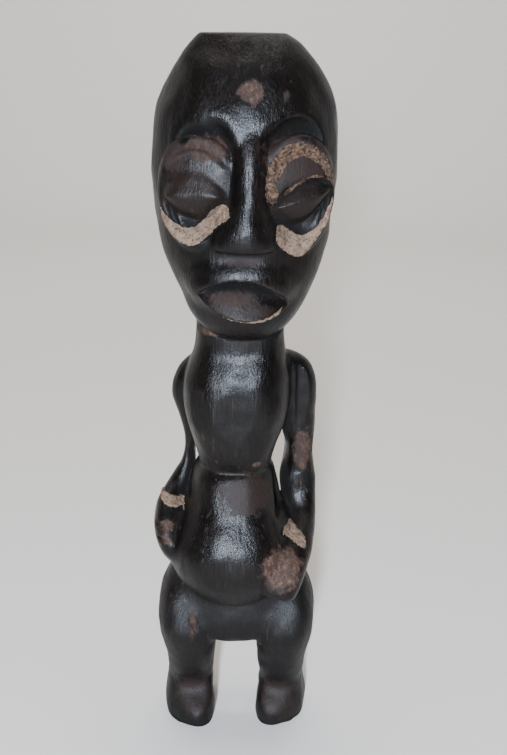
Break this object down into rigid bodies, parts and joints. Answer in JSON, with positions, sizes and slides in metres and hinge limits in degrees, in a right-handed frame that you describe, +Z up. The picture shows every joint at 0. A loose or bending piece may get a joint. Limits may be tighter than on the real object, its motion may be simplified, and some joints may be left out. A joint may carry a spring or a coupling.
{
  "type": "carved fertility doll",
  "caption": "Standing carved dark-wood doll with a large egg-shaped head, closed lidded eyes edged with pale clay, a column neck, round belly with hands laid on it, and short legs.",
  "frame": {"origin": "on the resting surface, under the middle of the figure's bounding box", "axes": "+Z up through the figure, the face looks along -Y, the figure's own left side is +X"},
  "size_m": [0.0722, 0.0688, 0.3],
  "materials": {
    "dark_wood": "near-black stained wood, rubbed to a satin sheen, worn reddish brown at the edges",
    "pale_clay": "matt pale clay with dark specks",
    "ochre_clay": "matt rubbed ochre clay"
  },
  "bodies": {
    "root": {"head": "dark_wood", "neck_chest": "dark_wood", "belly": "dark_wood", "hips": "dark_wood", "left_arm": "dark_wood", "right_arm": "dark_wood", "left_leg": "dark_wood", "right_leg": "dark_wood", "left_foot": "dark_wood", "right_foot": "dark_wood", "left_eye_clay": "pale_clay", "right_eye_clay": "pale_clay", "left_wrist_clay": "pale_clay", "right_wrist_clay": "pale_clay", "lip_clay": "pale_clay", "brow_clay": "ochre_clay"}
  },
  "joints": []
}
